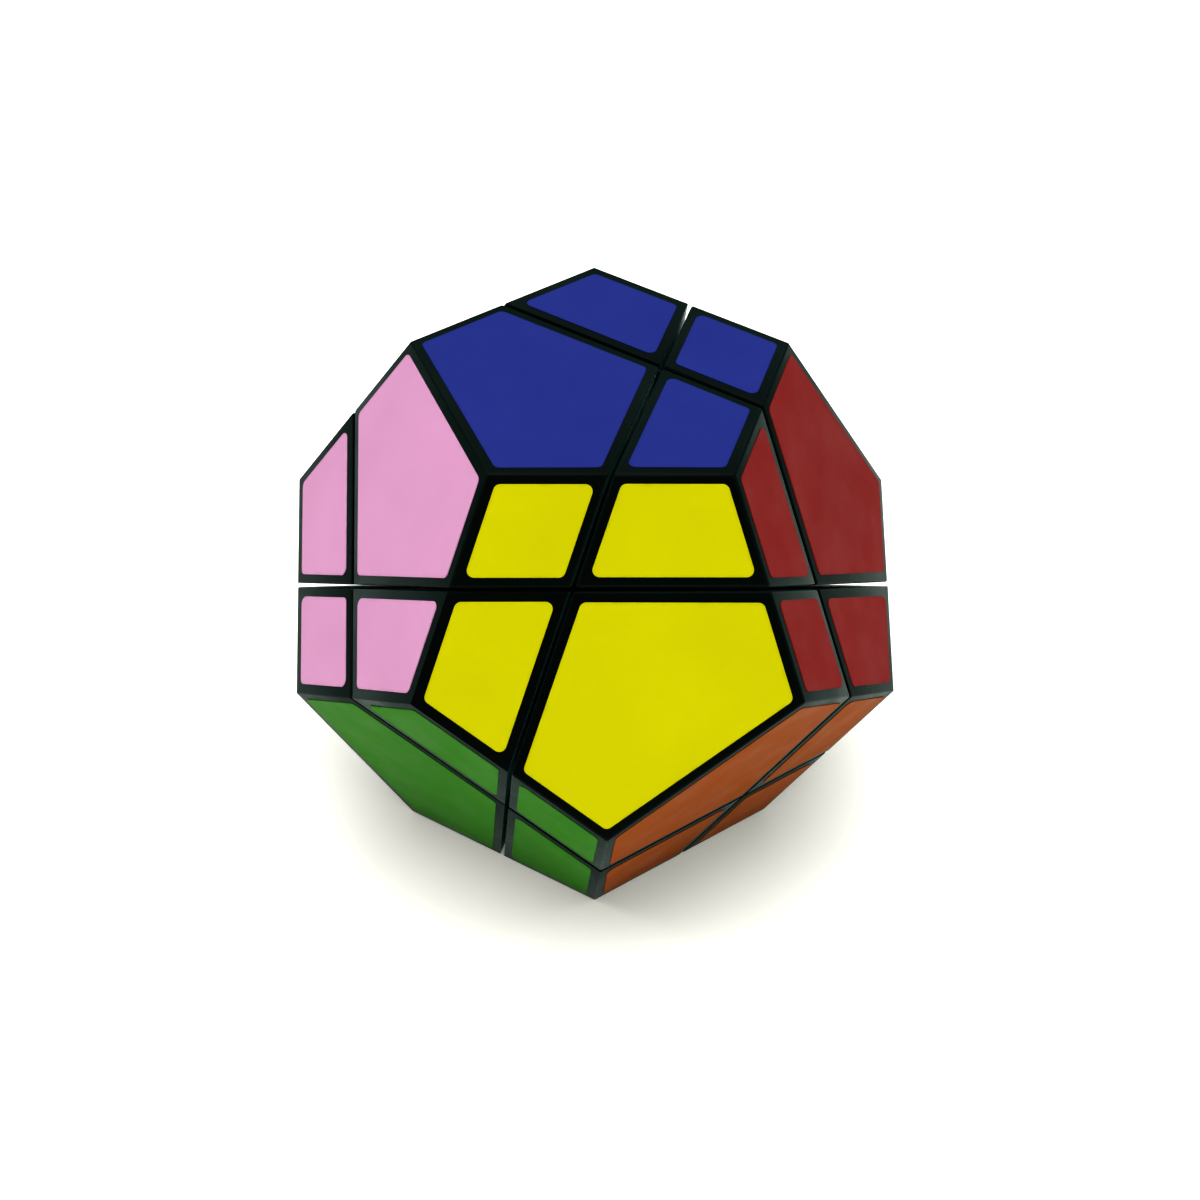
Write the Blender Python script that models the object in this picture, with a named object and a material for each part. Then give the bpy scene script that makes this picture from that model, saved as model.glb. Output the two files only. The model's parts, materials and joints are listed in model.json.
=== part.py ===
"""A twelve-sided twisty puzzle that turns on four axes, with its whole mechanism.

The dodecahedron is sliced by four planes through its centre, each square to one diagonal
of the cube that fits inside it. That gives 8 corner pieces and 6 edge pieces. Four of the
corners turn on spring-loaded screws in the core; every other piece is held by its foot,
which hooks under the pieces beside it.

Units are metres, and +Z is up: the blue face is on top, the white face is what the puzzle
rests on, and the yellow face looks towards -Y. The origin is the centre of the puzzle,
where all four turning axes cross. The pieces are laid out in the frame of the inscribed
cube, whose directions are simple, and an empty turns that frame into the resting pose.
"""
from math import cos, pi, radians, sin, sqrt, tan

import bmesh
import bpy
from mathutils import Euler, Matrix, Vector

MM = 0.001
PHI = (1 + sqrt(5)) / 2

# Driving dimensions.
EDGE = 34 * MM                     # one edge of the dodecahedron
HALF_CUT = 0.3 * MM                # from a cutting plane to the pieces on either side of it
CAP_WALL = 1.8 * MM                # moulded wall of the hollow outer caps
FIT = 0.3 * MM                     # clearance between pieces that lie against each other
CORE_RADIUS = 14 * MM
FOOT_INNER_RADIUS = 14.4 * MM      # the feet ride around the core between these two radii
FOOT_OUTER_RADIUS = 22 * MM
CAP_INNER_RADIUS = 22.4 * MM       # the caps, and the plates that carry them, start here
PLATE_OUTER_RADIUS = 24.4 * MM
FOOT_CONE = radians(95)            # the feet part at this angle from an axis, the caps at 90

# Fixings, as heights along an axis and radii about it.
SCREW_TIP = 5 * MM
SHANK_RADIUS = 1.4 * MM
CORE_HOLE_RADIUS = 1.7 * MM
BOSS_RADIUS = 3.2 * MM
BOSS_TOP = 14.2 * MM
STALK_BOTTOM = 14.5 * MM
STALK_TAPER_TOP = 17.3 * MM
STALK_TOP = 27 * MM
STALK_FOOT_RADIUS = 3.4 * MM
STALK_RADIUS = 4.2 * MM
STALK_BORE_RADIUS = 1.9 * MM
SPRING_SEAT = 17.5 * MM            # floor of the pocket that the spring stands on
POCKET_RADIUS = 3.1 * MM
SPRING_TURNS = 5
SPRING_BOTTOM = SPRING_SEAT + FIT
SPRING_TOP = 23 * MM
SPRING_MEAN_RADIUS = 2.3 * MM
SPRING_WIRE_RADIUS = 0.3 * MM
WASHER_BOTTOM = SPRING_TOP + FIT
WASHER_THICKNESS = 0.5 * MM
WASHER_INNER_RADIUS = 1.7 * MM
WASHER_OUTER_RADIUS = 2.8 * MM
HEAD_BOTTOM = WASHER_BOTTOM + WASHER_THICKNESS + FIT
HEAD_HEIGHT = 2 * MM
HEAD_RADIUS = 2.6 * MM
HEAD_EDGE = 0.5 * MM               # height of the domed rim above the straight side
RECESS_WIDTH = 0.7 * MM            # the crossed slots for a screwdriver
RECESS_LENGTH = 3 * MM
RECESS_DEPTH = 1.1 * MM

# How finely round shapes are divided.
BALL_DIVISIONS = 3
BALL_TILT = (0.3, 0.2, 0.1)        # keeps the balls' facets out of line with every cut
ROUND_SEGMENTS = 18
HOLE_SEGMENTS = 20                 # keeps a hole's edges out of line with those of its solid
CONE_SEGMENTS = 24
SPRING_STEPS_PER_TURN = 12

FACE_DISTANCE = EDGE * sqrt((25 + 11 * sqrt(5)) / 40)
REACH = 2 * EDGE                   # further out than anything on the puzzle
SAME_POINT = 0.0001 * MM           # closer than this, two points of a mesh are one

# Outward directions in the cube frame. Their order gives the order of colours in a name.
FACES = {
    "blue": (1, 0, PHI),
    "pink": (-1, 0, PHI),
    "yellow": (0, -PHI, 1),
    "red": (PHI, -1, 0),
    "green": (-PHI, -1, 0),
    "orange": (0, -PHI, -1),
    "lime": (0, PHI, 1),
    "cream": (PHI, 1, 0),
    "violet": (-PHI, 1, 0),
    "sky": (0, PHI, -1),
    "grey": (1, 0, -PHI),
    "white": (-1, 0, -PHI),
}
AXES = [(1, 1, 1), (1, -1, -1), (-1, 1, -1), (-1, -1, 1)]
CORNERS = [(x, y, z) for x in (1, -1) for y in (1, -1) for z in (1, -1)]
EDGES = [(1, 0, 0), (-1, 0, 0), (0, 1, 0), (0, -1, 0), (0, 0, 1), (0, 0, -1)]

# Colour, roughness and metallic value of each finish.
BLACK_PLASTIC = ((0.006, 0.008, 0.007), 0.42, 0)
FOOT_PLASTIC = ((0.012, 0.013, 0.013), 0.5, 0)
CORE_PLASTIC = ((0.55, 0.55, 0.52), 0.45, 0)
ZINC_STEEL = ((0.62, 0.62, 0.60), 0.32, 1)
SPRING_STEEL = ((0.45, 0.45, 0.46), 0.28, 1)


def unit(direction):
    return Vector(direction).normalized()


def colours_of(direction):
    """The colours on the piece that points this way, as one name."""
    reach = {colour: Vector(normal).dot(direction) for colour, normal in FACES.items()}
    return "_".join(colour for colour in FACES if reach[colour] > 0.99 * max(reach.values()))


def resting_rotation():
    """Cube frame to world: blue faces up and yellow faces towards -Y."""
    up = unit(FACES["blue"])
    yellow = unit(FACES["yellow"])
    back = -(yellow - yellow.dot(up) * up).normalized()
    return Matrix((back.cross(up), back, up)).to_4x4()


def make_material(name, finish):
    colour, roughness, metallic = finish
    material = bpy.data.materials.new(name)
    material.use_nodes = True
    shader = material.node_tree.nodes["Principled BSDF"]
    shader.inputs["Base Color"].default_value = (*colour, 1)
    shader.inputs["Roughness"].default_value = roughness
    shader.inputs["Metallic"].default_value = metallic
    return material


def mesh_from(bm, name):
    bmesh.ops.recalc_face_normals(bm, faces=bm.faces)
    mesh = bpy.data.meshes.new(name)
    bm.to_mesh(mesh)
    bm.free()
    return mesh


def place(name, data, axis=None, shift=0.0):
    """An object in the cube frame, with its own +Z turned along axis and moved up it."""
    obj = bpy.data.objects.new(name, data)
    bpy.context.collection.objects.link(obj)
    obj.parent = puzzle_frame
    if axis:
        obj.rotation_mode = "QUATERNION"
        obj.rotation_quaternion = Vector((0, 0, 1)).rotation_difference(Vector(axis))
        obj.location = unit(axis) * shift
    return obj


def cutter(name, data, axis=None, shift=0.0):
    """A helper that only shapes other objects."""
    obj = place(name, data, axis, shift)
    obj.hide_render = True
    obj.display_type = "WIRE"
    return obj


def boolean(obj, operation, other):
    modifier = obj.modifiers.new(other.name, "BOOLEAN")
    modifier.operation = operation
    modifier.solver = "EXACT"
    modifier.object = other


def piece(name, data, finish, axis=None):
    """A physical piece of the puzzle, in its own material."""
    obj = place(name, data, axis)
    obj.data.materials.append(make_material(name + "_material", finish))
    return obj


def ball_mesh(name, radius):
    bm = bmesh.new()
    tilt = Euler(BALL_TILT).to_matrix().to_4x4()
    bmesh.ops.create_icosphere(bm, subdivisions=BALL_DIVISIONS, radius=radius, matrix=tilt)
    for face in bm.faces:
        face.smooth = True
    return mesh_from(bm, name)


def turned_mesh(name, profile, segments=ROUND_SEGMENTS, ring=False):
    """A profile of (radius, height) points spun about +Z, capped flat or joined as a ring."""
    bm = bmesh.new()
    points = [bm.verts.new((radius, 0, height)) for radius, height in profile]
    edges = [bm.edges.new(pair) for pair in zip(points, points[1:])]
    if ring:
        edges.append(bm.edges.new((points[-1], points[0])))
    bmesh.ops.spin(bm, geom=points + edges, axis=(0, 0, 1), angle=2 * pi, steps=segments)
    bmesh.ops.remove_doubles(bm, verts=bm.verts, dist=SAME_POINT)
    bmesh.ops.holes_fill(bm, edges=bm.edges)
    return mesh_from(bm, name)


def box_mesh(name, size, centre):
    bm = bmesh.new()
    bmesh.ops.create_cube(bm, size=1)
    bmesh.ops.scale(bm, vec=size, verts=bm.verts)
    bmesh.ops.translate(bm, vec=centre, verts=bm.verts)
    return mesh_from(bm, name)


def sector_mesh(name, direction, cut_offset, face_distance):
    """The share of the dodecahedron that one piece fills, drawn in from its cuts.

    cut_offset is the distance kept from the four cutting planes, and face_distance is how
    far out the dodecahedron's faces lie.
    """
    bm = bmesh.new()
    bmesh.ops.create_cube(bm, size=2 * REACH)
    planes = [(unit(normal), face_distance) for normal in FACES.values()]
    for axis in AXES:
        outwards = unit(axis) if Vector(axis).dot(direction) < 0 else -unit(axis)
        planes.append((outwards, -cut_offset))
    for normal, distance in planes:
        everything = bm.verts[:] + bm.edges[:] + bm.faces[:]
        bmesh.ops.bisect_plane(bm, geom=everything, dist=SAME_POINT, plane_no=normal,
                               plane_co=normal * distance, clear_outer=True)
        bmesh.ops.holes_fill(bm, edges=bm.edges)
    return mesh_from(bm, name)


def make_shared_cutters():
    """Balls that bound the layers, and the cones that part the feet."""
    cutters = {
        "inside_feet": cutter("inside_feet", ball_mesh("inside_feet", FOOT_INNER_RADIUS)),
        "inside_caps": cutter("inside_caps", ball_mesh("inside_caps", CAP_INNER_RADIUS)),
        "inside_joins": cutter("inside_joins", ball_mesh("inside_joins", FOOT_OUTER_RADIUS - MM)),
        "around_plates": cutter("around_plates", ball_mesh("around_plates", PLATE_OUTER_RADIUS)),
    }
    # Everything further than FOOT_CONE from an axis, as a shallow cone that opens away from
    # it. Moved along the axis by half a clearance each way, it cuts the feet on either side.
    cone_depth = REACH * tan(FOOT_CONE - pi / 2)
    profile = [(0, 0), (REACH, -cone_depth), (REACH, -REACH)]
    for index, axis in enumerate(AXES):
        mesh = turned_mesh(f"cone_{index}", profile, CONE_SEGMENTS)
        cutters["turning", axis] = cutter(f"cone_turning_{index}", mesh, axis, FIT / 2)
        cutters["staying", axis] = cutter(f"cone_staying_{index}", mesh, axis, -FIT / 2)
    return cutters


def make_cap(kind, direction, cutters):
    """The hollow outer shell of one piece, open towards the core."""
    colours = colours_of(direction)
    shell = sector_mesh(colours, direction, HALF_CUT, FACE_DISTANCE)
    cap = piece(f"{kind}_cap_{colours}", shell, BLACK_PLASTIC)
    hollow = sector_mesh(colours, direction, HALF_CUT + CAP_WALL, FACE_DISTANCE - CAP_WALL)
    boolean(cap, "DIFFERENCE", cutter(f"hollow_{colours}", hollow))
    boolean(cap, "DIFFERENCE", cutters["inside_caps"])


def plate_mesh(direction):
    """A piece's share of space inside its cap's walls; balls then trim it to a plate."""
    offset = HALF_CUT + CAP_WALL + FIT
    return sector_mesh("plate_" + colours_of(direction), direction, offset, FACE_DISTANCE)


def make_foot(kind, direction, cutters):
    """The foot that hooks under its neighbours, with the plate that fills its cap's mouth."""
    colours = colours_of(direction)
    ball = ball_mesh(f"foot_{colours}", FOOT_OUTER_RADIUS)
    foot = piece(f"{kind}_foot_{colours}", ball, FOOT_PLASTIC)
    boolean(foot, "DIFFERENCE", cutters["inside_feet"])
    for axis in AXES:
        if Vector(axis).dot(direction) > 0:
            boolean(foot, "DIFFERENCE", cutters["turning", axis])
        else:
            boolean(foot, "INTERSECT", cutters["staying", axis])
    plate = cutter(f"plate_{colours}", plate_mesh(direction))
    boolean(plate, "INTERSECT", cutters["around_plates"])
    boolean(plate, "DIFFERENCE", cutters["inside_joins"])
    boolean(foot, "UNION", plate)


def make_hub(axis, cutters):
    """A fixed corner's plate and the hollow stalk that turns on its screw."""
    colours = colours_of(axis)
    stalk = turned_mesh("stalk", [
        (STALK_FOOT_RADIUS, STALK_BOTTOM),
        (STALK_RADIUS, STALK_TAPER_TOP),
        (STALK_RADIUS, STALK_TOP),
    ])
    bore = turned_mesh("bore", [
        (STALK_BORE_RADIUS, CORE_RADIUS),
        (STALK_BORE_RADIUS, SPRING_SEAT),
        (POCKET_RADIUS, SPRING_SEAT),
        (POCKET_RADIUS, STALK_TOP + MM),
    ], HOLE_SEGMENTS)
    hub = piece(f"corner_hub_{colours}", plate_mesh(axis), FOOT_PLASTIC)
    boolean(hub, "INTERSECT", cutters["around_plates"])
    boolean(hub, "DIFFERENCE", cutters["inside_caps"])
    boolean(hub, "UNION", cutter(f"stalk_{colours}", stalk, axis))
    boolean(hub, "DIFFERENCE", cutter(f"bore_{colours}", bore, axis))


def make_core():
    """The ball in the middle, with a boss and a screw hole on each axis."""
    core = piece("core", ball_mesh("core", CORE_RADIUS), CORE_PLASTIC)
    boss = turned_mesh("boss", [(BOSS_RADIUS, SCREW_TIP), (BOSS_RADIUS, BOSS_TOP)])
    hole = turned_mesh("hole", [
        (0, SCREW_TIP - MM),
        (CORE_HOLE_RADIUS, SCREW_TIP - FIT),
        (CORE_HOLE_RADIUS, BOSS_TOP + MM),
    ], HOLE_SEGMENTS)
    for index, axis in enumerate(AXES):
        boolean(core, "UNION", cutter(f"boss_{index}", boss, axis))
    for index, axis in enumerate(AXES):
        boolean(core, "DIFFERENCE", cutter(f"hole_{index}", hole, axis))


def make_screw(axis):
    """A pan-head screw with a crossed recess."""
    top = HEAD_BOTTOM + HEAD_HEIGHT
    mesh = turned_mesh("screw", [
        (SHANK_RADIUS / 2, SCREW_TIP),
        (SHANK_RADIUS, SCREW_TIP + SHANK_RADIUS),
        (SHANK_RADIUS, HEAD_BOTTOM),
        (HEAD_RADIUS, HEAD_BOTTOM),
        (HEAD_RADIUS, top - HEAD_EDGE),
        (HEAD_RADIUS - HEAD_EDGE, top),
    ])
    screw = piece(f"axis_screw_{colours_of(axis)}", mesh, ZINC_STEEL, axis)
    centre = (0, 0, top)
    for size in ((RECESS_LENGTH, RECESS_WIDTH), (RECESS_WIDTH, RECESS_LENGTH)):
        slot = box_mesh("slot", (*size, 2 * RECESS_DEPTH), centre)
        boolean(screw, "DIFFERENCE", cutter(f"slot_{screw.name}", slot, axis))


def make_spring(axis):
    """The coil spring that presses a corner's hub towards the core."""
    curve = bpy.data.curves.new("spring", "CURVE")
    curve.dimensions = "3D"
    curve.bevel_depth = SPRING_WIRE_RADIUS
    curve.bevel_resolution = 1
    curve.use_fill_caps = True
    steps = SPRING_TURNS * SPRING_STEPS_PER_TURN
    spline = curve.splines.new("POLY")
    spline.points.add(steps)
    low = SPRING_BOTTOM + SPRING_WIRE_RADIUS
    rise = SPRING_TOP - SPRING_WIRE_RADIUS - low
    for step, point in enumerate(spline.points):
        turn = 2 * pi * step / SPRING_STEPS_PER_TURN
        x = SPRING_MEAN_RADIUS * cos(turn)
        y = SPRING_MEAN_RADIUS * sin(turn)
        point.co = (x, y, low + rise * step / steps, 1)
    piece(f"axis_spring_{colours_of(axis)}", curve, SPRING_STEEL, axis)


def make_washer(axis):
    """The flat washer between a spring and its screw's head."""
    mesh = turned_mesh("washer", [
        (WASHER_INNER_RADIUS, WASHER_BOTTOM),
        (WASHER_OUTER_RADIUS, WASHER_BOTTOM),
        (WASHER_OUTER_RADIUS, WASHER_BOTTOM + WASHER_THICKNESS),
        (WASHER_INNER_RADIUS, WASHER_BOTTOM + WASHER_THICKNESS),
    ], ring=True)
    piece(f"axis_washer_{colours_of(axis)}", mesh, ZINC_STEEL, axis)


for old in list(bpy.data.objects):
    bpy.data.objects.remove(old, do_unlink=True)

puzzle_frame = bpy.data.objects.new("puzzle_frame", None)
bpy.context.collection.objects.link(puzzle_frame)
puzzle_frame.matrix_world = resting_rotation()

shared = make_shared_cutters()
make_core()
for turning_axis in AXES:
    make_screw(turning_axis)
    make_spring(turning_axis)
    make_washer(turning_axis)
    make_hub(turning_axis, shared)
for corner in CORNERS:
    make_cap("corner", corner, shared)
    if corner not in AXES:
        make_foot("corner", corner, shared)
for edge in EDGES:
    make_cap("edge", edge, shared)
    make_foot("edge", edge, shared)
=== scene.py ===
"""The looks of a twelve-sided, four-axis twisty puzzle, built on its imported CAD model.

Each outer cap gets a finer shell with rounded edges, and every facet of it gets its vinyl
sticker. Both are made from the cap's own mesh, so they lie exactly where it does. The moulded
pieces inside get true balls and rounded corners. The screws, springs and washers are made anew,
each as long and as wide as its CAD node.
"""

import json
import random
from math import cos, pi, radians, sin

import bmesh
import bpy
from mathutils import Matrix, Vector

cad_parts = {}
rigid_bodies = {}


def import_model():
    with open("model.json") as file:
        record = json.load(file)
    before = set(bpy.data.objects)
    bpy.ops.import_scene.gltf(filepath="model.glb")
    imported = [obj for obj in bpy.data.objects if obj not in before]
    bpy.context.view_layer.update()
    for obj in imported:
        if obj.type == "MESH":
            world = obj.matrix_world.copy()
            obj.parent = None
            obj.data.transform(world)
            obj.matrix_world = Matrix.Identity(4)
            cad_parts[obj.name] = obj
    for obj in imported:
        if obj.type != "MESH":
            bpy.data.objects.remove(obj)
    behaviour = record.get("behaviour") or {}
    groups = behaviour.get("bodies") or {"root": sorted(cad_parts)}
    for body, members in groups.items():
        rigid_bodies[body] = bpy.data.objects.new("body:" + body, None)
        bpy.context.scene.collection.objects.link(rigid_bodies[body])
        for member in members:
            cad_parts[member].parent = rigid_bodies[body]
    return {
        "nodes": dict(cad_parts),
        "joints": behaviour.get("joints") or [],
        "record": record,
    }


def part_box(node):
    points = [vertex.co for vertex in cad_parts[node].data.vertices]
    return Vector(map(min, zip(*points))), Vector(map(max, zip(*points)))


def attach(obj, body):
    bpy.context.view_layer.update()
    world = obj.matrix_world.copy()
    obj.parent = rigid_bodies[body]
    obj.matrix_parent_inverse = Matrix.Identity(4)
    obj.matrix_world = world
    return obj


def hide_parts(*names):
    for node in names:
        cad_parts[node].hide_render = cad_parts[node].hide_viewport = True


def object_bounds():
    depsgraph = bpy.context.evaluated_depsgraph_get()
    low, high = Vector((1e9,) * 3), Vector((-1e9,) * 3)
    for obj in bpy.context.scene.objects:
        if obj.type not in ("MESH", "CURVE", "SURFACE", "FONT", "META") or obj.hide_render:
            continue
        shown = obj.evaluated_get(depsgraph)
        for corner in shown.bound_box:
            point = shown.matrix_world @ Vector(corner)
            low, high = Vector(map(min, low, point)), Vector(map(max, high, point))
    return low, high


for old in list(bpy.data.objects):
    bpy.data.objects.remove(old, do_unlink=True)
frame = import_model()
cad_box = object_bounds()

MM = 0.001
FACE_DISTANCE = cad_box[1].z           # from the centre to each of the twelve faces
HALF_CUT = 0.3 * MM                    # from the planes through the centre to the sides of a cap
SAME_PLACE = 0.02 * MM                 # as near as this counts as on a plane or ball
SAME_POINT = 0.001 * MM                # corners as near as this are one
SLIVER = 0.0005 * MM                   # edges shorter than this are taken out
FLAT = radians(0.2)                    # triangles that meet at less than this are one face

# Camera, aimed at the puzzle's centre and then slid a little sideways and down.
AZIMUTH = radians(-4.202)
ELEVATION = radians(38.666)
ROLL = radians(2.522)
DISTANCE = 455.86 * MM
SLIDE_RIGHT = 0.842 * MM
SLIDE_UP = -2.334 * MM
LENS = 90.8                            # in millimetres, as Blender counts lenses and sensors
SENSOR = 36

# Surroundings.
FLOOR_RADIUS = 1.1
FLOOR_SEGMENTS = 96
FLOOR_GLOW = 0.15                      # lifts the floor to white
BACKDROP_RADIUS = 2.9
BACKDROP_GLOW = 0.9
WORLD_GLOW = 0.25

# Moulded pieces.
EDGE_ROUND = 0.45 * MM                 # how far a cap's rounding eats into each side
ROUND_STEPS = 3
INNER_ROUND = 0.3 * MM                 # the same for the pieces inside
INNER_STEPS = 2
SHARP = radians(40)                    # edges inside that turn by more than this are rounded
ARC = 0.5                              # the bevel profile that is part of a circle
SMOOTH_MOULDED = radians(25)           # faces that meet at less than this are shaded as one
SMOOTH_FINE = radians(40)              # the same for stickers and fixings

# The balls about the centre that bound each kind of piece.
BALL_RADII = {
    "core": (14 * MM,),
    "foot": (14.4 * MM, 21 * MM, 22 * MM, 24.4 * MM),
    "hub": (22.4 * MM, 24.4 * MM),
    "cap": (22.4 * MM,),
}
BALL_SAG = 0.02                        # how far inside its ball a CAD facet may lie, in radii
BALL_FACING = 0.97                     # cosine of the most that a facet may lean from its ball
BALL_CUTS = 3                          # new points along each edge of a facet

# Fixings on the four turning axes.
ROUND_SEGMENTS = 40
SHANK_RADIUS = 1.4 * MM
THREAD_ROOT = 1.1 * MM
THREAD_PITCH = 0.8 * MM
THREAD_TOP = 14 * MM                   # the shank is plain above this height
CREST_HALF_WIDTH = 0.35                # of a thread's ridge at its foot, in pitches
RINGS_PER_THREAD = 8
TIP_LENGTH = 1.4 * MM
TIP_SHARE = 0.5                        # the tip's radius over the shank's
HEAD_HEIGHT = 2 * MM
HEAD_ROUND = 0.5 * MM
HEAD_STEPS = 6
RECESS_HALF_WIDTH = 0.4 * MM           # cross-shaped, and narrower at the bottom
RECESS_REACH = 1.5 * MM
RECESS_DEPTH = 1.1 * MM
RECESS_TAPER = 0.5
WIRE_RADIUS = 0.3 * MM
SPRING_TURNS = 5
SPRING_CLOSING = 0.3                   # how much closer the coils lie at the ends, as a share
STEPS_PER_TURN = 36
WIRE_SEGMENTS = 12
WASHER_BORE = 1.7 * MM
WASHER_ROUND = 0.12 * MM

# Stickers.
STICKER_MARGIN = 1.4 * MM              # bare plastic between a sticker and its cap's edge
STICKER_CORNER = 1.0 * MM              # radius of its round corners
CORNER_STEPS = 7
STICKER_THICKNESS = 0.12 * MM
STICKER_EDGE = 0.03 * MM               # rounded rim of the vinyl
RIM_WIDTH = 0.5 * MM                   # band along the rim that handling has dulled
PLACING_ERROR = 0.1 * MM               # stickers are laid by hand
TURNING_ERROR = radians(0.35)
PLACING_SEED = 12

# Materials.
MATT = 0.04                            # specular level of the black plastic and the vinyl
HAZE_TINT = (0.3, 1, 0.88)             # the black plastic's faint sheen at low angles
MIX_FIRST, MIX_SECOND = 6, 7           # a Mix node's colour inputs
MIX_RESULT = 2                         # and its colour output

STICKER_COLOURS = {
    "blue": (0.0225, 0.032, 0.180),
    "pink": (0.526, 0.276, 0.432),
    "yellow": (0.500, 0.482, 0.0005),
    "red": (0.213, 0.0152, 0.0138),
    "green": (0.039, 0.188, 0.012),
    "orange": (0.272, 0.066, 0.0005),
    "lime": (0.215, 0.430, 0.040),
    "cream": (0.590, 0.530, 0.370),
    "violet": (0.120, 0.042, 0.215),
    "sky": (0.100, 0.320, 0.510),
    "grey": (0.230, 0.238, 0.238),
    "white": (0.640, 0.640, 0.620),
}


# ---------------------------------------------------------------- camera and studio

def make_camera():
    """The camera: turned round the centre, tilted, rolled, and then slid."""
    back = Vector((sin(AZIMUTH) * cos(ELEVATION), -cos(AZIMUTH) * cos(ELEVATION), sin(ELEVATION)))
    level = Vector((cos(AZIMUTH), sin(AZIMUTH), 0))
    upright = back.cross(level)
    right = cos(ROLL) * level + sin(ROLL) * upright
    up = cos(ROLL) * upright - sin(ROLL) * level
    data = bpy.data.cameras.new("camera")
    data.lens = LENS
    data.sensor_width = SENSOR
    camera = bpy.data.objects.new("camera", data)
    rotation = Matrix((right, up, back)).transposed()
    place = back * DISTANCE + right * SLIDE_RIGHT + up * SLIDE_UP
    camera.matrix_world = Matrix.Translation(place) @ rotation.to_4x4()
    bpy.context.collection.objects.link(camera)
    bpy.context.scene.camera = camera


def make_floor():
    """A pale paper disc just under the lowest sticker."""
    bm = bmesh.new()
    bmesh.ops.create_circle(bm, cap_ends=True, segments=FLOOR_SEGMENTS, radius=FLOOR_RADIUS)
    mesh = bpy.data.meshes.new("floor")
    bm.to_mesh(mesh)
    bm.free()
    floor = bpy.data.objects.new("floor", mesh)
    floor.location.z = cad_box[0].z - STICKER_THICKNESS - SAME_PLACE
    bpy.context.collection.objects.link(floor)
    material, tree, shader = principled("floor_paper")
    fibres = noise(tree, scale=900, detail=4)
    tint = ramp(tree, fibres, (0.3, (0.94, 0.935, 0.88)), (0.7, (0.97, 0.965, 0.91)))
    tree.links.new(tint, shader.inputs["Base Color"])
    shader.inputs["Roughness"].default_value = 0.9
    shader.inputs["Emission Color"].default_value = (1, 1, 0.87, 1)
    shader.inputs["Emission Strength"].default_value = FLOOR_GLOW
    mesh.materials.append(material)


def make_backdrop():
    """A pale dome that only fills the background; it lights nothing and mirrors nowhere."""
    bm = bmesh.new()
    bmesh.ops.create_icosphere(bm, subdivisions=4, radius=BACKDROP_RADIUS)
    mesh = bpy.data.meshes.new("backdrop")
    bm.to_mesh(mesh)
    bm.free()
    material, _, shader = principled("backdrop_paper")
    shader.inputs["Base Color"].default_value = (0, 0, 0, 1)
    shader.inputs["Emission Color"].default_value = (1, 1, 1, 1)
    shader.inputs["Emission Strength"].default_value = BACKDROP_GLOW
    mesh.materials.append(material)
    backdrop = bpy.data.objects.new("backdrop", mesh)
    for ray in ("diffuse", "glossy", "transmission", "volume_scatter", "shadow"):
        setattr(backdrop, "visible_" + ray, False)
    bpy.context.collection.objects.link(backdrop)


def area_light(name, place, size, power, colour=(1, 1, 1)):
    """A rectangular light that faces the puzzle; its place and size in metres, power in watts."""
    data = bpy.data.lights.new(name, "AREA")
    data.shape = "RECTANGLE"
    data.size, data.size_y = size
    data.energy = power
    data.color = colour
    light = bpy.data.objects.new(name, data)
    light.location = place
    light.rotation_euler = (-Vector(place)).to_track_quat("-Z", "Y").to_euler()
    bpy.context.collection.objects.link(light)
    return light


def make_studio():
    """Soft light from above and three sides, with a cool card behind for the low-angle sheen."""
    make_camera()
    make_floor()
    make_backdrop()
    area_light("overhead_softbox", (-0.05, -0.08, 1.3), (1.4, 1.4), 20)
    for fill in (
        area_light("front_softbox", (-0.1, -1.1, 1.0), (1.2, 0.6), 1.5),
        area_light("left_softbox", (-1.2, 0, 0.75), (0.7, 1.2), 2.3),
        area_light("right_softbox", (1.2, 0, 0.75), (0.7, 1.2), 1.85),
    ):
        fill.visible_glossy = False
    card = area_light("back_card", (0.1, 0.95, 0.78), (1.2, 0.7), 3.6, (0.7, 1, 1))
    card.visible_camera = False
    card.visible_diffuse = False
    world = bpy.data.worlds.new("studio")
    bpy.context.scene.world = world
    world.use_nodes = True
    background = world.node_tree.nodes["Background"]
    background.inputs["Color"].default_value = (1, 1, 1, 1)
    background.inputs["Strength"].default_value = WORLD_GLOW
    world.cycles_visibility.glossy = False
    bpy.context.scene.view_settings.view_transform = "Standard"
    bpy.context.scene.view_settings.look = "High Contrast"


# ---------------------------------------------------------------- material building

def principled(name):
    """A new material, with its node tree and its shader."""
    material = bpy.data.materials.new(name)
    material.use_nodes = True
    tree = material.node_tree
    return material, tree, tree.nodes["Principled BSDF"]


def noise(tree, scale, detail=2, stretch=(1, 1, 1), distortion=0.0):
    """Grain in the piece's own space, in features per metre."""
    coordinates = tree.nodes.new("ShaderNodeTexCoord")
    mapping = tree.nodes.new("ShaderNodeMapping")
    mapping.inputs["Scale"].default_value = stretch
    texture = tree.nodes.new("ShaderNodeTexNoise")
    texture.inputs["Scale"].default_value = scale
    texture.inputs["Detail"].default_value = detail
    texture.inputs["Distortion"].default_value = distortion
    tree.links.new(coordinates.outputs["Object"], mapping.inputs["Vector"])
    tree.links.new(mapping.outputs["Vector"], texture.inputs["Vector"])
    return texture.outputs["Fac"]


def ramp(tree, source, start, end):
    """A blend along a 0 to 1 source between two stops, each (position, colour or grey level)."""
    node = tree.nodes.new("ShaderNodeValToRGB")
    for element, (position, colour) in zip(node.color_ramp.elements, (start, end)):
        element.position = position
        element.color = (*colour, 1) if isinstance(colour, tuple) else (colour, colour, colour, 1)
    tree.links.new(source, node.inputs["Fac"])
    return node.outputs["Color"]


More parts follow.
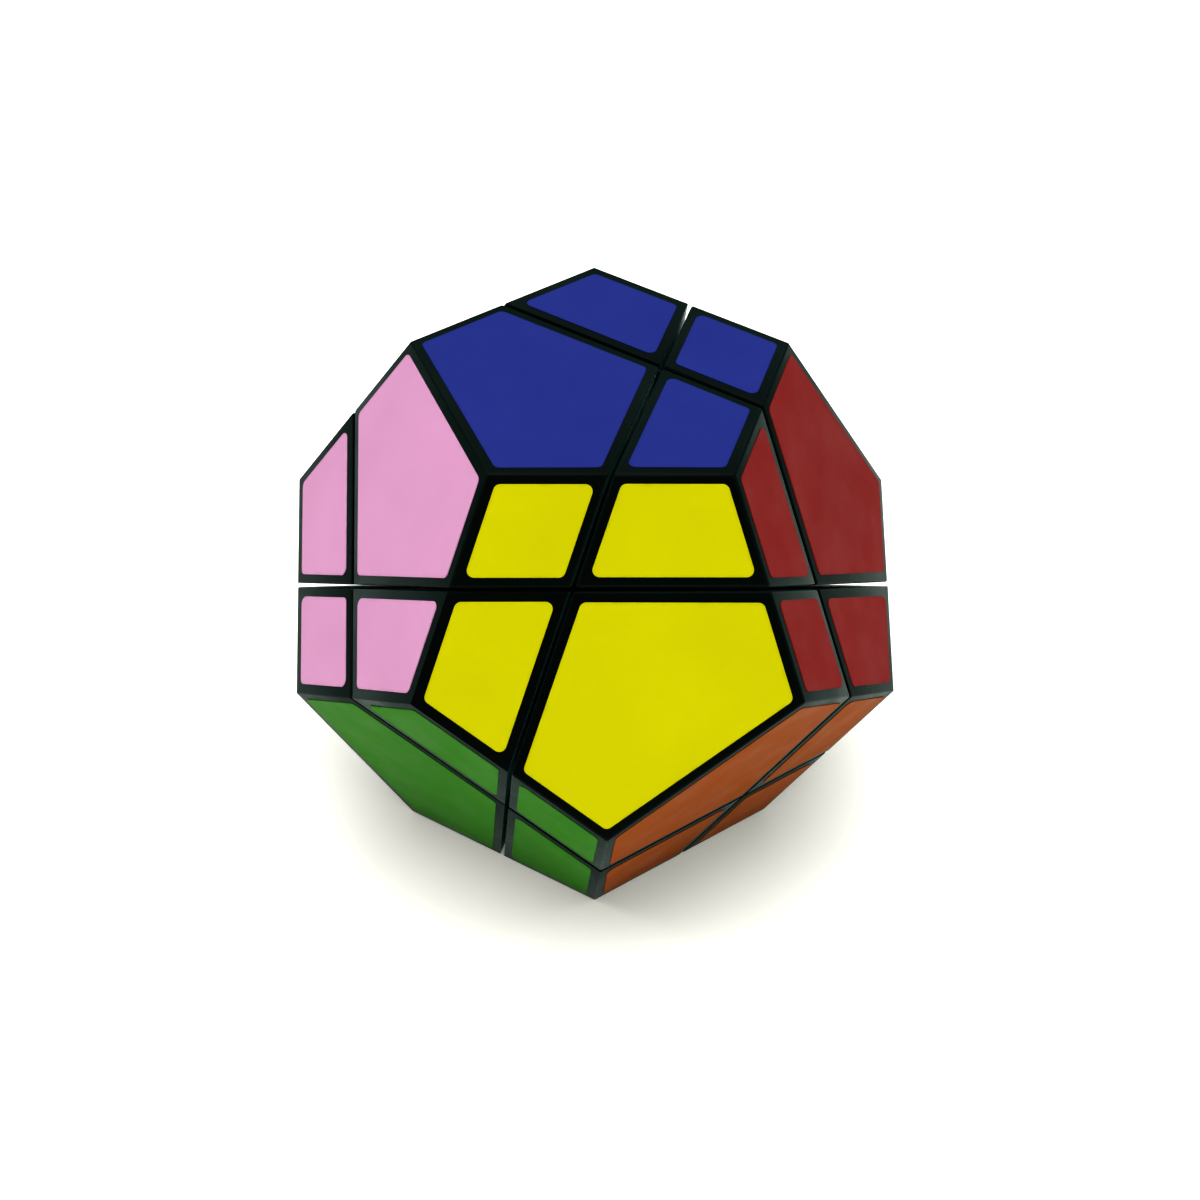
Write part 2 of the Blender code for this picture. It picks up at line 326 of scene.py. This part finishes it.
def bump(tree, shader, layers):
    """Stack of (height source, depth in metres) under the shader's normal."""
    previous = None
    for height, depth in layers:
        node = tree.nodes.new("ShaderNodeBump")
        node.inputs["Distance"].default_value = depth
        tree.links.new(height, node.inputs["Height"])
        if previous is not None:
            tree.links.new(previous, node.inputs["Normal"])
        previous = node.outputs["Normal"]
    tree.links.new(previous, shader.inputs["Normal"])


def scaled(colour, factor):
    """A lighter or darker colour."""
    return tuple(min(1, channel * factor) for channel in colour)


def moulded_plastic(name, colour, rough, gloss=MATT, haze=0.07, swirls=1.5):
    """Injection-moulded ABS: fine spark-eroded grain, faint flow swirls, handling shine."""
    material, tree, shader = principled(name)
    shader.inputs["Specular IOR Level"].default_value = gloss
    shader.inputs["Sheen Weight"].default_value = haze
    shader.inputs["Sheen Tint"].default_value = (*HAZE_TINT, 1)
    flow = noise(tree, scale=45, detail=3, distortion=0.6)
    tree.links.new(ramp(tree, flow, (0.3, colour), (0.7, scaled(colour, swirls))),
                   shader.inputs["Base Color"])
    smudges = noise(tree, scale=110, detail=4)
    tree.links.new(ramp(tree, smudges, (0.35, rough - 0.06), (0.65, rough + 0.08)),
                   shader.inputs["Roughness"])
    grain = noise(tree, scale=7000, detail=3)
    sink = noise(tree, scale=120, detail=1)
    bump(tree, shader, [(sink, 0.05 * MM), (grain, 0.003 * MM)])
    return material


def vinyl(name, colour):
    """Printed vinyl: a little mottling, orange-peel gloss, and a rim dulled by handling."""
    material, tree, shader = principled(name)
    shader.inputs["Specular IOR Level"].default_value = MATT
    mottle = noise(tree, scale=70, detail=4, distortion=0.4)
    clean = ramp(tree, mottle, (0.3, scaled(colour, 0.96)), (0.7, scaled(colour, 1.02)))
    rim = tree.nodes.new("ShaderNodeAttribute")
    rim.attribute_name = "rim"
    scuffs = noise(tree, scale=500, detail=5)
    wear = tree.nodes.new("ShaderNodeMath")
    wear.operation = "MULTIPLY"
    tree.links.new(rim.outputs["Fac"], wear.inputs[0])
    tree.links.new(ramp(tree, scuffs, (0.35, 0.0), (0.75, 0.4)), wear.inputs[1])
    blend = tree.nodes.new("ShaderNodeMix")
    blend.data_type = "RGBA"
    tree.links.new(wear.outputs["Value"], blend.inputs["Factor"])
    tree.links.new(clean, blend.inputs[MIX_FIRST])
    blend.inputs[MIX_SECOND].default_value = (*scaled(colour, 0.55), 1)
    tree.links.new(blend.outputs[MIX_RESULT], shader.inputs["Base Color"])
    smudges = noise(tree, scale=160, detail=5)
    tree.links.new(ramp(tree, smudges, (0.35, 0.42), (0.65, 0.54)), shader.inputs["Roughness"])
    orange_peel = noise(tree, scale=260, detail=2)
    grain = noise(tree, scale=3500, detail=2)
    bump(tree, shader, [(orange_peel, 0.02 * MM), (grain, 0.003 * MM)])
    return material


def metal(name, colour, rough):
    """Plated or drawn steel, with fine marks round the part."""
    material, tree, shader = principled(name)
    shader.inputs["Metallic"].default_value = 1
    patches = noise(tree, scale=900, detail=4)
    tree.links.new(ramp(tree, patches, (0.3, scaled(colour, 0.8)), (0.7, scaled(colour, 1.1))),
                   shader.inputs["Base Color"])
    scuffs = noise(tree, scale=2200, detail=3)
    tree.links.new(ramp(tree, scuffs, (0.3, rough - 0.08), (0.7, rough + 0.12)),
                   shader.inputs["Roughness"])
    marks = noise(tree, scale=5000, detail=2, stretch=(1, 1, 0.15))
    bump(tree, shader, [(marks, 0.0015 * MM)])
    return material


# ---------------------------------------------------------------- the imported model

def kind_of(node_name):
    """cap, foot, hub, screw, spring, washer or core."""
    return node_name if node_name == "core" else node_name.split("_")[1]


def colour_directions():
    """Roughly which way each colour faces: the middle of the caps named after it."""
    directions = {colour: Vector() for colour in STICKER_COLOURS}
    for node_name in frame["nodes"]:
        if kind_of(node_name) == "cap":
            low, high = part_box(node_name)
            for colour in node_name.split("_")[2:]:
                directions[colour] += (low + high).normalized()
    return directions


def colour_of(normal, directions):
    """The colour that faces most nearly the way the normal points."""
    return min(directions, key=lambda colour: normal.angle(directions[colour]))


def turning_axis(node_name):
    """The axis that a fixing sits on: that of the joint named after the same corner."""
    corner = node_name.split("_", 2)[2]
    joint = next(joint for joint in frame["joints"] if joint["name"] == "turn_" + corner)
    return Vector(joint["axis"]).normalized()


def reach(node_name, axis):
    """How low, how high and how far out from an axis a CAD node reaches."""
    points = [vert.co for vert in frame["nodes"][node_name].data.vertices]
    heights = [point.dot(axis) for point in points]
    radii = [(point - axis * height).length for point, height in zip(points, heights)]
    return min(heights), max(heights), max(radii)


def welded(node_name):
    """A CAD node's mesh as a bmesh, its triangles joined into whole flat faces."""
    bm = bmesh.new()
    bm.from_mesh(frame["nodes"][node_name].data)
    bmesh.ops.remove_doubles(bm, verts=bm.verts, dist=SAME_POINT)
    bmesh.ops.dissolve_limit(bm, angle_limit=FLAT, verts=bm.verts, edges=bm.edges)
    bm.normal_update()
    return bm


def plane_distance(face):
    """From the centre to a face's plane, negative if the face looks towards the centre."""
    return face.normal.dot(face.verts[0].co)


def is_facet(face):
    """A part of one of the twelve outer faces, where a sticker goes."""
    return abs(plane_distance(face) - FACE_DISTANCE) < SAME_PLACE


def is_side(face):
    """A wall along one of the cuts."""
    return abs(plane_distance(face) + HALF_CUT) < SAME_PLACE


def is_on_ball(face, radius):
    """Whether a face is a facet of a ball about the centre."""
    distances = [vert.co.length for vert in face.verts]
    facing = abs(face.normal.dot(face.calc_center_median().normalized()))
    return (facing > BALL_FACING and max(distances) < radius + SAME_PLACE
            and min(distances) > radius * (1 - BALL_SAG))


# ---------------------------------------------------------------- mesh building

def make_balls_round(bm, radii):
    """Divides the facets of each ball and lifts their points onto the true ball."""
    for radius in radii:
        facets = [face for face in bm.faces if is_on_ball(face, radius)]
        bmesh.ops.triangulate(bm, faces=facets)
        edges = [edge for edge in bm.edges
                 if any(is_on_ball(face, radius) for face in edge.link_faces)]
        bmesh.ops.subdivide_edges(bm, edges=edges, cuts=BALL_CUTS, use_grid_fill=True)
        bm.normal_update()
        for face in [face for face in bm.faces if is_on_ball(face, radius)]:
            for vert in face.verts:
                vert.co = vert.co.normalized() * radius
    bmesh.ops.dissolve_degenerate(bm, edges=bm.edges, dist=SLIVER)
    bm.normal_update()


def loft(bm, outlines, ring=False):
    """Skin over outlines of equal length, closed at both ends or joined into a ring."""
    loops = [[bm.verts.new(point) for point in outline] for outline in outlines]
    pairs = list(zip(loops, loops[1:]))
    if ring:
        pairs.append((loops[-1], loops[0]))
    else:
        bm.faces.new(reversed(loops[0]))
        bm.faces.new(loops[-1])
    for low, high in pairs:
        for index in range(len(low)):
            bm.faces.new((low[index - 1], low[index], high[index], high[index - 1]))
    return loops


def circle(radius, height):
    """A ring of points about +Z."""
    turns = [2 * pi * index / ROUND_SEGMENTS for index in range(ROUND_SEGMENTS)]
    return [Vector((radius * cos(turn), radius * sin(turn), height)) for turn in turns]


def carved(bm, tool):
    """A closed mesh with the space of a tool taken out of it."""
    objects = []
    for solid in (bm, tool):
        mesh = bpy.data.meshes.new("carving")
        solid.to_mesh(mesh)
        solid.free()
        objects.append(bpy.data.objects.new("carving", mesh))
        bpy.context.collection.objects.link(objects[-1])
    modifier = objects[0].modifiers.new("carving", "BOOLEAN")
    modifier.operation = "DIFFERENCE"
    modifier.solver = "EXACT"
    modifier.object = objects[1]
    graph = bpy.context.evaluated_depsgraph_get()
    result = bmesh.new()
    result.from_object(objects[0], graph)
    for solid in objects:
        bpy.data.objects.remove(solid, do_unlink=True)
    return result


def round_edges(bm, edges, offset, steps, material=-1):
    """Rounds the edges into arcs; material -1 is that of the faces beside them."""
    bmesh.ops.bevel(bm, geom=edges, offset=offset, segments=steps, profile=ARC,
                    affect="EDGES", clamp_overlap=True, material=material)
    bm.normal_update()


def new_piece(name, bm, body, materials, smooth_angle):
    """The finished object of a mesh, riding on a body; it takes its finish from the slot."""
    mesh = bpy.data.meshes.new(name)
    bm.to_mesh(mesh)
    bm.free()
    for material in materials:
        mesh.materials.append(material)
    mesh.shade_smooth()
    mesh.set_sharp_from_angle(angle=smooth_angle)
    piece = bpy.data.objects.new(name, mesh)
    bpy.context.collection.objects.link(piece)
    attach(piece, body)
    return piece


# ---------------------------------------------------------------- shells and stickers

def make_shell(node_name, body, materials):
    """The cap with rounded outer edges; the rounding has the second, more worn, material."""
    bm = welded(node_name)
    make_balls_round(bm, BALL_RADII["cap"])
    outer = [e for e in bm.edges if all(is_facet(f) or is_side(f) for f in e.link_faces)]
    round_edges(bm, outer, EDGE_ROUND, ROUND_STEPS, material=1)
    shell = new_piece(node_name.replace("_cap_", "_shell_"), bm, body, materials,
                      SMOOTH_MOULDED)
    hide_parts(node_name)


def rounded_outline(corners, inset, radius, normal):
    """A convex polygon drawn in by inset, with its corners turned into arcs."""
    sides = []
    for corner, following in zip(corners, corners[1:] + corners[:1]):
        along = (following - corner).normalized()
        sides.append((along, normal.cross(along)))
    outline = []
    for index, corner in enumerate(corners):
        before, inward_before = sides[index - 1]
        after, inward_after = sides[index]
        half_turn = before.angle(after) / 2
        bisector = (inward_before + inward_after).normalized()
        centre = corner + bisector * (inset + radius) / cos(half_turn)
        for step in range(CORNER_STEPS + 1):
            spread = inward_before.slerp(inward_after, step / CORNER_STEPS)
            outline.append(centre - spread * radius)
    return outline


def make_sticker(name, facet, body, material, placing):
    """Vinyl with round corners, a softly rounded rim, and a worn band along it."""
    corners = [vert.co.copy() for vert in facet.verts]
    normal = facet.normal.copy()
    middle = facet.calc_center_median()
    across = normal.orthogonal().normalized()
    shift = across * placing.uniform(-1, 1) + normal.cross(across) * placing.uniform(-1, 1)
    turn = Matrix.Rotation(placing.uniform(-1, 1) * TURNING_ERROR, 3, normal)
    # The inset, height and wear of each ring of points, from the cap up.
    levels = (
        (0, 0, 1),
        (0, STICKER_THICKNESS - STICKER_EDGE, 1),
        (STICKER_EDGE, STICKER_THICKNESS, 1),
        (RIM_WIDTH, STICKER_THICKNESS, 0),
    )
    outlines = []
    for inset, height, _ in levels:
        outline = rounded_outline(corners, STICKER_MARGIN + inset, STICKER_CORNER - inset, normal)
        outlines.append([middle + turn @ (point - middle) + shift * PLACING_ERROR + normal * height
                         for point in outline])
    bm = bmesh.new()
    rim = bm.verts.layers.float.new("rim")
    for loop, (_, _, wear) in zip(loft(bm, outlines), levels):
        for vert in loop:
            vert[rim] = wear
    sticker = new_piece(name, bm, body, [material], SMOOTH_FINE)
    sticker.visible_diffuse = False    # its colour isn't cast on its neighbours or the floor


def make_stickers(node_name, body, vinyls, directions, placing):
    """One sticker for each facet of a cap, in the colour of its side of the puzzle."""
    bm = welded(node_name)
    for facet in sorted(filter(is_facet, bm.faces), key=lambda face: tuple(face.normal)):
        colour = colour_of(facet.normal, directions)
        make_sticker(f"sticker_{colour}_on_{body}", facet, body, vinyls[colour], placing)
    bm.free()


# ---------------------------------------------------------------- pieces inside

def make_round_part(node_name, body, material):
    """A foot, hub or core with rounded corners and truly round balls."""
    bm = welded(node_name)
    corners = [e for e in bm.edges if e.is_convex and e.calc_face_angle() > SHARP]
    round_edges(bm, corners, INNER_ROUND, INNER_STEPS)
    make_balls_round(bm, BALL_RADII[kind_of(node_name)])
    part = new_piece(node_name + "_moulded", bm, body, [material], SMOOTH_MOULDED)
    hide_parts(node_name)


def screw_outlines(low, high, head_radius):
    """Rings up a threaded shank and its pan head, about +Z."""
    outlines = []
    thread_rings = round((THREAD_TOP - low) / THREAD_PITCH * RINGS_PER_THREAD)
    for ring in range(thread_rings + 1):
        height = low + (THREAD_TOP - low) * ring / thread_rings
        narrowing = min(1, TIP_SHARE + (1 - TIP_SHARE) * (height - low) / TIP_LENGTH)
        outline = []
        for index in range(ROUND_SEGMENTS):
            turn = index / ROUND_SEGMENTS
            from_crest = abs((height / THREAD_PITCH - turn) % 1 - 0.5)
            ridge = max(0, 1 - from_crest / CREST_HALF_WIDTH)
            radius = (THREAD_ROOT + (SHANK_RADIUS - THREAD_ROOT) * ridge) * narrowing
            outline.append(Vector((radius * cos(2 * pi * turn), radius * sin(2 * pi * turn),
                                   height)))
        outlines.append(outline)
    head_bottom = high - HEAD_HEIGHT
    outlines.append(circle(THREAD_ROOT, THREAD_TOP + THREAD_PITCH / 4))
    outlines.append(circle(SHANK_RADIUS, THREAD_TOP + THREAD_PITCH / 2))
    outlines.append(circle(SHANK_RADIUS, head_bottom))
    outlines.append(circle(head_radius, head_bottom))
    for step in range(HEAD_STEPS + 1):
        turn = pi / 2 * step / HEAD_STEPS
        outlines.append(circle(head_radius - HEAD_ROUND * (1 - cos(turn)),
                               high - HEAD_ROUND * (1 - sin(turn))))
    return outlines


def cross_outline(half_width, arm, height):
    """A plus sign about +Z."""
    outline = []
    for quarter in range(4):
        turn = Matrix.Rotation(quarter * pi / 2, 3, "Z")
        for x, y in ((arm, -half_width), (arm, half_width), (half_width, half_width)):
            outline.append(turn @ Vector((x, y, height)))
    return outline


def screw(low, high, head_radius):
    """A threaded screw with a pan head and a cross-shaped recess."""
    bm = bmesh.new()
    loft(bm, screw_outlines(low, high, head_radius))
    tool = bmesh.new()
    loft(tool, [
        cross_outline(RECESS_HALF_WIDTH * RECESS_TAPER, RECESS_REACH * RECESS_TAPER,
                      high - RECESS_DEPTH),
        cross_outline(RECESS_HALF_WIDTH, RECESS_REACH, high + SAME_PLACE),
    ])
    return carved(bm, tool)


def spring(low, high, outer_radius):
    """A helix of round wire, its coils a little closer at both ends."""
    mean_radius = outer_radius - WIRE_RADIUS
    steps = SPRING_TURNS * STEPS_PER_TURN
    path = []
    for step in range(steps + 1):
        share = step / steps
        risen = share - SPRING_CLOSING * sin(2 * pi * share) / (2 * pi)
        turn = 2 * pi * SPRING_TURNS * share
        path.append(Vector((mean_radius * cos(turn), mean_radius * sin(turn),
                            low + WIRE_RADIUS + risen * (high - low - 2 * WIRE_RADIUS))))
    outlines = []
    around_wire = [2 * pi * side / WIRE_SEGMENTS for side in range(WIRE_SEGMENTS)]
    for index, centre in enumerate(path):
        along = (path[min(index + 1, steps)] - path[max(index - 1, 0)]).normalized()
        outwards = Vector((centre.x, centre.y, 0)).normalized()
        upwards = along.cross(outwards)
        outlines.append([centre + WIRE_RADIUS * (cos(turn) * outwards + sin(turn) * upwards)
                         for turn in around_wire])
    bm = bmesh.new()
    loft(bm, outlines)
    return bm


def washer(low, high, outer_radius):
    """A stamped ring with its edges broken."""
    bm = bmesh.new()
    loft(bm, [
        circle(WASHER_BORE + WASHER_ROUND, low),
        circle(outer_radius - WASHER_ROUND, low),
        circle(outer_radius, low + WASHER_ROUND),
        circle(outer_radius, high - WASHER_ROUND),
        circle(outer_radius - WASHER_ROUND, high),
        circle(WASHER_BORE + WASHER_ROUND, high),
        circle(WASHER_BORE, high - WASHER_ROUND),
        circle(WASHER_BORE, low + WASHER_ROUND),
    ], ring=True)
    return bm


FIXINGS = {"screw": screw, "spring": spring, "washer": washer}


def make_fixing(node_name, body, material):
    """A screw, spring or washer, turned on its own axis of the puzzle."""
    axis = turning_axis(node_name)
    bm = FIXINGS[kind_of(node_name)](*reach(node_name, axis))
    bmesh.ops.rotate(bm, verts=bm.verts,
                     matrix=Vector((0, 0, 1)).rotation_difference(axis).to_matrix())
    fixing = new_piece(node_name + "_fine", bm, body, [material], SMOOTH_FINE)
    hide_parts(node_name)


# ---------------------------------------------------------------- the whole puzzle

make_studio()
plastic = moulded_plastic("black_plastic_moulded", colour=(0.0014, 0.0026, 0.0016), rough=0.33)
worn_plastic = moulded_plastic("black_plastic_edges", colour=(0.0030, 0.0050, 0.0040), rough=0.28)
dark_plastic = moulded_plastic("mechanism_plastic_moulded", colour=(0.010, 0.011, 0.011),
                               rough=0.42, gloss=0.4, haze=0, swirls=1.4)
pale_plastic = moulded_plastic("core_plastic_moulded", colour=(0.50, 0.50, 0.47),
                               rough=0.42, gloss=0.5, haze=0, swirls=1.1)
zinc = metal("zinc_plated_steel", colour=(0.62, 0.62, 0.60), rough=0.32)
spring_wire = metal("spring_wire", colour=(0.45, 0.45, 0.46), rough=0.28)
vinyls = {name: vinyl("sticker_" + name, colour) for name, colour in STICKER_COLOURS.items()}

directions = colour_directions()
placing = random.Random(PLACING_SEED)
for body, members in frame["record"]["behaviour"]["bodies"].items():
    for node_name in members:
        kind = kind_of(node_name)
        if kind == "cap":
            make_stickers(node_name, body, vinyls, directions, placing)
            make_shell(node_name, body, [plastic, worn_plastic])
        elif kind == "core":
            make_round_part(node_name, body, pale_plastic)
        elif kind in ("foot", "hub"):
            make_round_part(node_name, body, dark_plastic)
        elif kind == "spring":
            make_fixing(node_name, body, spring_wire)
        else:
            make_fixing(node_name, body, zinc)
